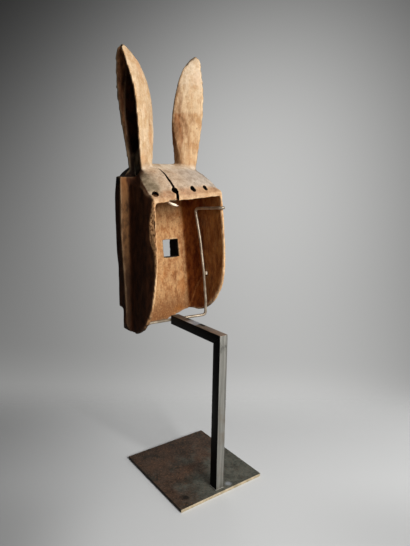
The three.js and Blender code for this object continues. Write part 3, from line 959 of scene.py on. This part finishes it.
def blade_marks(spots, ears, hollow):
    """Scoops that are long on the ears and deeper in the hollow, with a sway and fine ridges."""
    ear_cuts = scoops(spots, 8, 3, (1, 1, 3.2)) - SCOOP_LEVEL
    head_cuts = scoops(spots, 13, 8, (1, 1.4, 1.6)) - SCOOP_LEVEL
    inner_cuts = scoops(spots, 11, 11, (1, 1, 2.0)) - SCOOP_LEVEL
    cuts = ears * ear_cuts + (1 - ears) * (hollow * inner_cuts * 1.5 + (1 - hollow) * head_cuts)
    sway = rough(spots, 55, 2) * 0.6 + rough(spots, 18, 4) * 0.3
    ridge = rough(spots, 4.6, 6, (1, 1, 6)) * 0.22
    return CARVE_MM * cuts + sway * 0.7 + ridge - 0.1


def losses(spots, ears, worn):
    """Wood that is lost: nibbled from worn edges, and eaten from the one corner."""
    nibble = rough(spots, 7, 9) * 0.6 + rough(spots, 3.4, 10) * 0.4
    eaten = eaten_corner(spots)
    yield worn * np.clip(nibble + 0.1, 0, 1) * (1.3 - 0.9 * ears)
    yield eaten * (1 - np.clip(scoops(spots, 6, 21), 0, 1)) * 0.8
    yield eaten * np.clip(rough(spots, 9, 22), 0, 1) * 0.6


def carve(skin):
    """Moves the skin's points in and out, inside the box that it came in, and marks the wear."""
    spots, edges = read_points(skin), read(skin.edges, "vertices", 2, np.int32)
    low, high = spots.min(axis=0), spots.max(axis=0)
    spots = averaged(spots, edges)
    write_points(skin, spots)
    normals = read_normals(skin)
    ears = rise(spots[:, 2], 618, 640)
    hollow = inside_hollow(spots) * rise(-normals[:, 2], -0.5, 0.0)
    bulge = ((spots - averaged(spots, edges, 14)) * normals).sum(axis=1)
    worn = rise(bulge, 0.25, 1.3)
    move = blade_marks(spots, ears, hollow)
    for loss in losses(spots, ears, worn):
        move -= loss
    carved = spots + normals * move[:, None]
    carved[:, 2] -= LIP_MM * lower_lip(spots)
    write_points(skin, np.clip(carved, low, high))
    return with_values(skin, worn=averaged(worn, edges) * kept_wear(spots))


carved = carve(skin)
print("carved skin:", len(carved.vertices), "points")

# %% The crack's tool
CRACK = [
    # across, along and width
    (31, -84, 0.8), (29.4, -76, 2.2), (28.2, -64, 3.4), (28.2, -52, 4.4), (28.3, -40, 5.2),
    (26.4, -26, 6.6), (27.4, -18, 6.8), (28.4, -4, 6.8),
]
CRACK_LOW = 551
CRACK_HIGH = 660
CRACK_STEP_MM = 2.5


def crack_tool():
    """An upright wavy slab along the crack. Strips close its ends, as the ring is so bent."""
    across, along_crack, width = np.array(CRACK).T
    count = int((along_crack[-1] - along_crack[0]) / CRACK_STEP_MM)
    along = np.linspace(along_crack[0], along_crack[-1], count)
    middle = np.interp(along, along_crack, across)
    half = np.interp(along, along_crack, width) / 2
    spots = np.stack((middle, along, along * 0), axis=1)
    middle = middle + 0.5 * rough(spots, 9, 41) * np.minimum(1, half)
    sides = []
    for sign, seed in ((1, 42), (-1, 43)):
        sides.append(middle + sign * half * (1 + 0.35 * rough(spots, 5, seed)))
    ring = list(zip(sides[0], along)) + list(zip(sides[1][::-1], along[::-1]))
    points = [(*spot, height) for height in (CRACK_LOW, CRACK_HIGH) for spot in ring]
    size = len(ring)
    faces = [(i, (i + 1) % size, size + (i + 1) % size, size + i) for i in range(size)]
    for a in range(count - 1):
        b, c, d = a + 1, size - 2 - a, size - 1 - a
        faces += [(d, c, b, a), (size + a, size + b, size + c, size + d)]
    return outward(mesh_of(points, faces=faces))


# %% [markdown]
# ## Holes, eyes and the flake
# The four holes in the rim fan out. They are one drill that Geometry Nodes places on a point for
# each hole, turned and sized by values stored on the point. The crack, the eyes and the flake, a
# sliver split off under the rim, are skins over a few rings of points. The flake is joined on, the
# rest is cut. Every face that a cut leaves is marked, so that the finish can paint it near black:
# painted shade inside the crack, the holes and the eyes.

# %% The rim's drills
RIM_HOLES = [
    # across, height, radius and how many times longer than wide
    (72, 573.2, 6.1, 1.2), (27.5, 579.1, 6.9, 1.12), (-15.5, 581.8, 5.4, 1.4),
    (-45.6, 583.3, 4.6, 1.4),
]
RIM_HOLE_Y = -30
RIM_HOLE_SLOPE = math.radians(30)
RIM_HOLE_FAN = 0.5 / 86


def drill_way(across):
    return (across * RIM_HOLE_FAN, math.cos(RIM_HOLE_SLOPE), math.sin(RIM_HOLE_SLOPE))


def rim_drills():
    recipe = Recipe("rim drills", reach=60 * MM, finish=wood_finish)
    reach, wide = recipe.given("reach"), recipe.stored("wide", "FLOAT")
    drill = recipe.node("GeometryNodeMeshCylinder", Vertices=28, Radius=1.0, Depth=reach)
    way = recipe.stored("way", "FLOAT_VECTOR")
    turn = recipe.node("FunctionNodeAlignRotationToVector", {"axis": "Z"}, Vector=way)
    long = wide * recipe.stored("long", "FLOAT")
    size = recipe.node("ShaderNodeCombineXYZ", X=wide, Y=long, Z=1.0)
    drills = recipe.node(
        "GeometryNodeInstanceOnPoints", Points=recipe.given("Geometry"), Instance=drill,
        Rotation=turn, Scale=size,
    )
    points = mesh_of([(hole_x, RIM_HOLE_Y, hole_z) for hole_x, hole_z, *_ in RIM_HOLES])
    _, _, radius, longer = np.array(RIM_HOLES).T
    ways = [drill_way(hole[0]) for hole in RIM_HOLES]
    return recipe.run(drills, with_values(points, way=ways, wide=radius * MM, long=longer))


# %% Eyes and flake
EYE_X = (15.2, 54.2)
EYE_Y = (-205, -112)
EYE_Z = (431.3, 469.2)
FLAKE = [
    # across, height and half its thickness
    (26, 551.4, 1.4), (29, 551.4, 2.0), (34, 552.3, 2.1), (39, 553.9, 1.7), (43, 555.8, 1.5),
    (49, 559, 1.4),
]
FLAKE_FAR_Y = -29
FLAKE_NEAR_Y = -21.5
FLAKE_EDGE = 0.8


def eye_tool(sign):
    """A square block through the eye on this side."""
    near, far = (sign * across for across in EYE_X)
    low, high = EYE_Z
    return lofted([[(near, y, low), (far, y, low), (far, y, high), (near, y, high)] for y in EYE_Y])


def flake_piece():
    """A sliver with a blunt wedge for its near edge."""
    rings = []
    for across, height, half in FLAKE:
        low, high = height - half, height + half
        rings.append([
            (across, FLAKE_FAR_Y, low), (across, FLAKE_FAR_Y, high), (across, FLAKE_NEAR_Y, high),
            (across, FLAKE_NEAR_Y + FLAKE_EDGE, height), (across, FLAKE_NEAR_Y, low),
        ])
    return lofted(rings)


# %% Cut the skin
def marked(mesh, amount):
    """Marks every face of a mesh, so that the cut faces can be told from the carved skin."""
    return with_values(mesh, "FACE", cut=np.full(len(mesh.polygons), amount))


carved = combined(marked(carved, 0.0), marked(flake_piece(), 0.0), "UNION")
eyes = edited(eye_tool(1), lambda form: form.from_mesh(eye_tool(-1)))
for tool in (crack_tool(), outward(rim_drills()), eyes):
    carved = combined(carved, marked(tool, 1.0))
marks = read(carved.attributes["cut"].data, "value", 1, np.float32)
print("faces left by the cuts:", int(marks.sum()))

# %% [markdown]
# ## Painted areas
# Which tone goes where is a matter of place and of facing. Brush strokes would be lost whenever the
# skin is made anew. So each area is worked out as a number from 0 to 1 at every point, and stored
# on the mesh under the name that the wood finish reads. `rise(z, 618, 634)` reads: nothing below
# 618 mm, all of it above 634 mm. One area times another narrows it, and a little noise keeps the
# borders from being straight.

# %% Places and facings
places = read_points(carved)
x, y, z = places.T
nx, ny, nz = read_normals(carved).T
side = np.abs(x)
facing_out = nx * np.sign(x)
facing_up = nz + 0.5 * ny
waver = rough(places, 9, 51) * 2.2 + rough(places, 4, 52) * 1.0
wavy_z = z + waver
right_half = rise(-x, 10, 20)


def most(*areas):
    """The strongest of these areas, point by point."""
    return np.max(np.broadcast_arrays(*areas), axis=0)


def count(**areas):
    print({name: int(area.sum()) for name, area in areas.items()}, "of", len(places), "points")

# %% Ears and their grooves
ear_foot = rise(wavy_z, 618, 634) * rise(side, 12, 20)
ear_foot *= rise(81 - side, 0, 2) * rise(y, -131, -127)
ear = most(rise(z, 640, 647), ear_foot)
# The ears' outward faces in the grooves: the old coat, darkened further as painted shade.
groove = rise(facing_out, 0.15, 0.5) * rise(z, 598, 608) * rise(side, 24, 32)
groove *= 1 - rise(z, 830, 838)

ROW_MM = 5
row = (z // ROW_MM).astype(int)
outermost = np.zeros(row.max() + 1)
np.maximum.at(outermost, row, side)
outline = rise(outermost[row] - side, 4.2, 2.4)
lip_edge = most(outline, rise(ny, 0.8, 0.5)) * rise(y, -116, -120)
lip_edge *= rise(side, 56, 64) * rise(z, 630, 650)
ear_front = rise(ny, 0.0, -0.4) * rise(y, -112, -124) * rise(z, 612, 630)
ear_front = most(ear_front, lip_edge)

lip_inner = rise(z, 612, 630) * rise(side, 34, 44)
lip_inner *= rise(y, -119, -123) * rise(ny, 0.2, 0.6)
front_lip = lip_inner * rise(side, 71.5, 75.5)
low_lip = 0.85 * lip_inner * rise(wavy_z, 696, 672)
# Painted shade in the groove behind the front lip.
lip_groove_shade = lip_inner * rise(side, 75.5, 71.5) * (1 - rise(z, 843, 849))
groove = most(groove, lip_groove_shade)
count(ear=ear, groove=groove)

# %% Tones of the ears
EAR_LINE_Z = 733
low_right = rise(wavy_z, EAR_LINE_Z + 4, EAR_LINE_Z - 4) * right_half
high_right = rise(wavy_z, EAR_LINE_Z + 16, EAR_LINE_Z + 90) * right_half
over_line = rise(wavy_z, EAR_LINE_Z + 60, EAR_LINE_Z - 10) * right_half
ear_amber = ear * most(low_right, 0.5 * over_line)
# Painted shade: the right ear's faces turned inwards, away from the light, get the brown tone, less
# at the foot.
foot_right = 1 - 0.55 * rise(z, 700, 640)
turned_in_shade = low_right * foot_right * rise(-facing_out, 0.35, 0.75)
inner_side_shade = 0.75 * right_half * rise(-facing_out, 0.5, 0.8) * foot_right
brown = ear * most(turned_in_shade, inner_side_shade, 0.95 * front_lip)
count(brown=brown)

# %% Hollow, domed top and edges
inside = inside_hollow(places)
shoulder = np.clip(77 + 0.28 * (y + 73.6), 73, 80.4)
top = rise(facing_up, 0.25, 0.5) * rise(z + 0.072 * x, 559, 563) * rise(y, -128, -120)
top *= (1 - ear) * (1 - rise(x + waver * 0.4 - shoulder, -1.2, 1.2))
inside *= 1 - top
rear = rise(ny, 0.45, 0.8)
edge = rear * rise(side, 75, 77.5) * rise(y, -92, -80) * rise(z, 575, 566) * (1 - top)
dark_left = 1 - 0.55 * rise(x, 10, 20) * rise(wavy_z, 385, 325)
edge *= dark_left * (1 - 0.7 * rise(wavy_z, 322, 302))
frame_from = 88.5 + 4.5 * rise(z, 582, 600)
frame_face = rear * rise(side - frame_from, -1.5, 1.5)
frame_face *= rise(y, -86, -94) * rise(z, 610, 604)
face = rise(y, -128, -138) * (1 - inside) * rise(z, 602, 588)
count(hollow=inside, top=top)

# %% Tones of the hollow's walls
# A painted highlight: a pale line along an arris of the right wall, where its edge catches the
# light.
WALL_ARRIS_HIGHLIGHT = [(-80, 389), (-88, 375), (-95, 363), (-101, 343), (-111, 320)]
ARRIS_HIGHLIGHT_WIDTH = 1.9


def near_line(spots, corners, wide):
    """1 at spots (y, z) on a line through the corners, 0 beyond its width."""
    nearest = np.full(len(spots), 99.0)
    corners = np.array(corners, dtype=float)
    for start, end in zip(corners[:-1], corners[1:]):
        way = end - start
        part = np.clip((spots - start) @ way / (way @ way), 0, 1)
        nearest = np.minimum(nearest, np.linalg.norm(spots - start - part[:, None] * way, axis=1))
    return rise(nearest, wide, wide * 0.4)


# The painted highlight along the arris joins the pale edges, and the deep shade stops at it.
scratch = near_line(places[:, 1:], WALL_ARRIS_HIGHLIGHT, ARRIS_HIGHLIGHT_WIDTH)
scratch *= inside * rise(-x, 66, 70) * rise(nx, 0.4, 0.7)
edge = most(edge, 0.52 * scratch)
walls = inside * rise(side, 66, 70)
# Painted shade and painted warm bounce light on the hollow's side walls, which the soft box only
# grazes, and in one spot at the hollow's foot.
flank = walls * rise(np.abs(nx), 0.4, 0.7)
flank = most(flank, 0.75 * inside * blob((x, -44, 12), (z, 317, 7)))
# Painted shade on the right wall beyond a line that follows the rod, deeper in the hollow.
deep_shade_line = -56 - 0.13 * (z - 343) + waver
deep = walls * rise(y, deep_shade_line + 6, deep_shade_line - 6) * (1 - scratch)
count(walls=walls, scratch=scratch)

# %% Tones of the domed top
# A painted highlight on the dome's crest, added to the chalky pale of the right ear's top.
crest = top * rise(y, -74, -92)
chalky = ear * most(0.7 * high_right, 0.1) + crest
rim_right = 0.85 * top * rise(y, -40, -30) * rise(-x, 10, 40)
far_foot = top * blob((x, 50, 14), (y, -84, 9))
near_foot = blob((x, 71, 15), (y, -51, 23)) * rise(z, 562, 578)
stain = np.clip(near_foot * 1.6 + 0.36 * waver * near_foot, 0, 1) * top * rise(y, -92, -80)
count(crest=crest, stain=stain)


# %% Painted shade where little light reaches
def boxed(spots, low, high):
    """The points inside a box, given by its low and its high corner."""
    return ((spots > low) & (spots < high)).all(axis=1)


def in_rim_holes(reach):
    """The points in a hole of the rim, out to a reach of its own radius."""
    found = np.zeros(len(places), dtype=bool)
    for hole_x, hole_z, radius, longer in RIM_HOLES:
        away = places - (hole_x, RIM_HOLE_Y, hole_z)
        way = np.array(drill_way(hole_x))
        away = away - (away @ way)[:, None] * way / (way @ way)
        across, along = away[:, 0], np.hypot(away[:, 1], away[:, 2])
        found |= np.hypot(across / radius, along / (radius * longer)) < reach
    return found & (y > -90) & (z > 545)


rim_holes = in_rim_holes(np.where(facing_up < 0.25, 1.35, 0.97))
folded = np.stack((side, y, z), axis=1)
eye_sides = boxed(folded, (11, -192, 426), (58, -123, 474)) & (np.abs(ny) < 0.78)
flake = boxed(places, (20, -34, 548), (46, -18, 557.2))
gap = boxed(places, (24, -34, 557.2), (47, -14, 561))
notch = rise(side, 58, 66) * rise(y, -104, -112)
notch *= rise(z, 586, 594) * rise(wavy_z, 668, 638)
underside = 0.85 * rise(-nz, 0.4, 0.7) * rise(z, 350, 335) * rise(side, 66, 72)
# Painted shade, near black: the ears' foot notch, downward faces, the lower front lip, the ears'
# front outline, the eyes' sides, the rim's holes and the gap over the flake.
sooty = most(notch, underside, low_lip, 0.8 * lip_edge, eye_sides, rim_holes, gap)
count(sooty=sooty)

# %% Store the areas
painted_mask = with_values(
    carved, ear=ear * (1 - 0.9 * ear_front), groove=groove * (1 - ear_front),
    amber=most(ear_amber, far_foot, rim_right), brown=brown, chalky=chalky,
    hollow=inside, flank=flank, deep=deep, edge=edge, frame=frame_face, face=face,
    dome=top, grey=top * rise(-x, -20, 50), rim=top * rise(y, -36, -28),
    stain=stain, sooty=sooty, bare=eaten_corner(places), split=flake,
)
keep_piece("carved_mask", painted_mask, wood_finish, "carved_wood", "mask")

# %% [markdown]
# ## The plugged hole
# One wall has an old hole, plugged with a peg of paler wood, so the peg is a piece of its own. It
# is a short profile turned about its length, as on a lathe, with a domed, slightly uneven head.

# %% The peg
PEG_PROFILE = [(-85.4, 4.3), (-77.0, 4.3), (-76.0, 4.1), (-75.3, 3.2), (-75.0, 1.8), (-74.95, 0.6)]
PEG_Y = -64
PEG_Z = 401.6
PEG_SIDES = 22
PEG_HEAD_FROM_X = -80


def peg_ring(across, radius):
    ring = []
    for step in range(PEG_SIDES):
        turn = 2 * math.pi * step / PEG_SIDES
        uneven = radius * (1 + 0.05 * math.sin(3 * turn + across))
        ring.append((across, PEG_Y + uneven * math.cos(turn), PEG_Z + uneven * math.sin(turn)))
    return ring


peg = lofted([peg_ring(*station) for station in PEG_PROFILE])
peg.shade_smooth()
paleness = 0.15 + 0.85 * (read_points(peg)[:, 0] > PEG_HEAD_FROM_X)
keep_piece("wall_peg", with_values(peg, split=paleness), wood_finish, "carved_wood")

# %% [markdown]
# ## Steel stand
# The plate and the bars are plain sawn stock. What tells them from a drawing is their edges, which
# are never sharp: a narrow bevel catches the light. They are copies of their solids with joined
# faces, so their sizes stay the solid model's. The faces towards +X are marked for painted shade,
# near black, and those towards +Y for a painted highlight, a pale tone where the soft box falls.

# %% Plate and bars
FLAT_ANGLE = math.radians(2)
SHARP_ANGLE = math.radians(25)


def soften(form, width):
    """Joins flat faces and puts a narrow round bevel on the sharp edges."""
    bmesh.ops.dissolve_limit(form, angle_limit=FLAT_ANGLE, verts=form.verts, edges=form.edges)
    sharp = [line for line in form.edges if line.calc_face_angle(0) > SHARP_ANGLE]
    bmesh.ops.bevel(form, geom=sharp, offset=width, segments=3, profile=0.5, affect="EDGES")


def bevelled(node, width, scale):
    """A softened copy of a solid: +X faces marked for painted shade, +Y faces for a painted
    highlight.
    """
    mesh = edited(joined_copy(node), lambda form: soften(form, width))
    facing = np.array([polygon.normal[:] for polygon in mesh.polygons])
    mesh.shade_smooth()
    # Painted shade on the faces towards +X, and a painted highlight on those towards +Y.
    return with_values(mesh, "FACE", scale=scale * (facing[:, 0] > 0.2), sawn=facing[:, 1] > 0.6)


def bar(node, level):
    """A bar whose streaks run upright, at level 0, or along the arm, at level 1."""
    mesh = bevelled(node, 0.9 * MM, 1.0)
    return with_values(mesh, level=np.full(len(mesh.vertices), level))


plate = bevelled("base_plate", 0.7 * MM, 0.9)
keep_piece("plate", plate, plate_finish, "plate_steel", "base_plate")
keep_piece("upright_bar", bar("post", 0.0), bar_finish, "bar_steel", "post")
keep_piece("level_bar", bar("arm", 1.0), bar_finish, "bar_steel", "arm")

# %% [markdown]
# ## Bent rod
# The rod is one length of round wire, bent cold around a former, so each corner has the same small
# radius. That is a rule, so the rod is a sweep: the corner points become a curve, Fillet rounds
# its corners, and a circle is drawn along it. The ends are filed round by shrinking the circle
# over the last millimetre.

# %% Bent rod
ROD_RADIUS = 3 * MM
ROD_BEND = 7 * MM
ROD_FILED = 1.5 * MM
ROD_FILED_SHARE = 0.45
ROD_STEP = 1.0 * MM
ROD_CORNERS = [
    (74, -71.1, 311.3), (-12, -71.1, 308.8), (-71.5, -56, 312), (-71.5, -56, 343),
    (-71.5, -65, 407), (-71.5, -79, 474), (-71.5, -98.5, 538), (-71.5, -12, 543.5),
    (-79.8, -12, 543.5),
]


def bent_rod():
    recipe = Recipe(
        "bent rod", radius=ROD_RADIUS, bend=ROD_BEND, filed=ROD_FILED, finish=rod_finish,
    )
    line = recipe.node("GeometryNodeMeshToCurve", Mesh=recipe.given("Geometry"))
    line = recipe.node(
        "GeometryNodeFilletCurve", {"mode": "POLY"}, Curve=line, Count=8,
        Radius=recipe.given("bend"), Limit_Radius=True,
    )
    line = recipe.evenly(line, ROD_STEP)
    reached = recipe.node("GeometryNodeSplineParameter", out="Length")
    whole = recipe.node("GeometryNodeSplineLength", out="Length")
    to_end = recipe.node("ShaderNodeMath", {"operation": "MINIMUM"}, _0=reached, _1=whole - reached)
    short = (1 - to_end / recipe.given("filed")).clipped()
    circle = recipe.node(
        "GeometryNodeCurvePrimitiveCircle", Resolution=20, Radius=recipe.given("radius"),
    )
    rod = recipe.node(
        "GeometryNodeCurveToMesh", Curve=line, Profile_Curve=circle,
        Scale=1 - short * short * ROD_FILED_SHARE, Fill_Caps=True,
    )
    rod = recipe.node("GeometryNodeSetShadeSmooth", Geometry=rod)
    return outward(recipe.run(rod, path_of(ROD_CORNERS)))


keep_piece("bent_rod", bent_rod(), rod_finish, "rod_steel", "cradle_rod")

# %% [markdown]
# ## Weld beads
# The stand is welded. A hand-made weld is a row of overlapping drops, each frozen before the next.
# One small drop is placed again and again along the joint, each a little larger or smaller at
# random, with a fixed seed.

# %% Weld recipe
BEAD_RADIUS = 1.1 * MM
BEAD_STEP = 1.5 * MM
BEAD_SMALLEST = 0.8
BEAD_LARGEST = 1.15
BEAD_FLATNESS = 0.8


def weld(name, points, closed, seed):
    recipe = Recipe(name, radius=BEAD_RADIUS, step=BEAD_STEP, seed=seed, finish=bar_finish)
    line = recipe.node("GeometryNodeMeshToCurve", Mesh=recipe.given("Geometry"))
    line = recipe.evenly(line, recipe.given("step"))
    drop = recipe.node("GeometryNodeMeshIcoSphere", Radius=recipe.given("radius"), Subdivisions=2)
    drop = recipe.node("GeometryNodeSetShadeSmooth", Geometry=drop)
    size = recipe.node(
        "FunctionNodeRandomValue", {"data_type": "FLOAT"}, out=1, _2=BEAD_SMALLEST,
        _3=BEAD_LARGEST, Seed=recipe.given("seed"),
    )
    scale = recipe.node("ShaderNodeCombineXYZ", X=size, Y=size, Z=size * BEAD_FLATNESS)
    beads = recipe.node("GeometryNodeInstanceOnPoints", Points=line, Instance=drop, Scale=scale)
    return recipe.run(beads, path_of(points, closed))


# %% Welds at the post's foot and the arm's end
SEAM_LOW_Z = 312.2
SEAM_HIGH_Z = 312.4
SEAM_INSET = 1
SEAM_AHEAD = 0.6
post_low, post_high = (Vector(corner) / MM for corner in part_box("post"))
arm_low, _ = (Vector(corner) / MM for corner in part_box("arm"))
west, south, foot = post_low
east, north, _ = post_high
foot_loop = [(west, south, foot), (east, south, foot), (east, north, foot), (west, north, foot)]
keep_piece("foot_weld", weld("foot weld", foot_loop, True, 5), bar_finish, "bar_steel")
seam_y = arm_low.y - SEAM_AHEAD
seam = [(west + SEAM_INSET, seam_y, SEAM_LOW_Z), (east - SEAM_INSET, seam_y, SEAM_HIGH_Z)]
keep_piece("rod_weld", weld("rod weld", seam, False, 8), bar_finish, "bar_steel")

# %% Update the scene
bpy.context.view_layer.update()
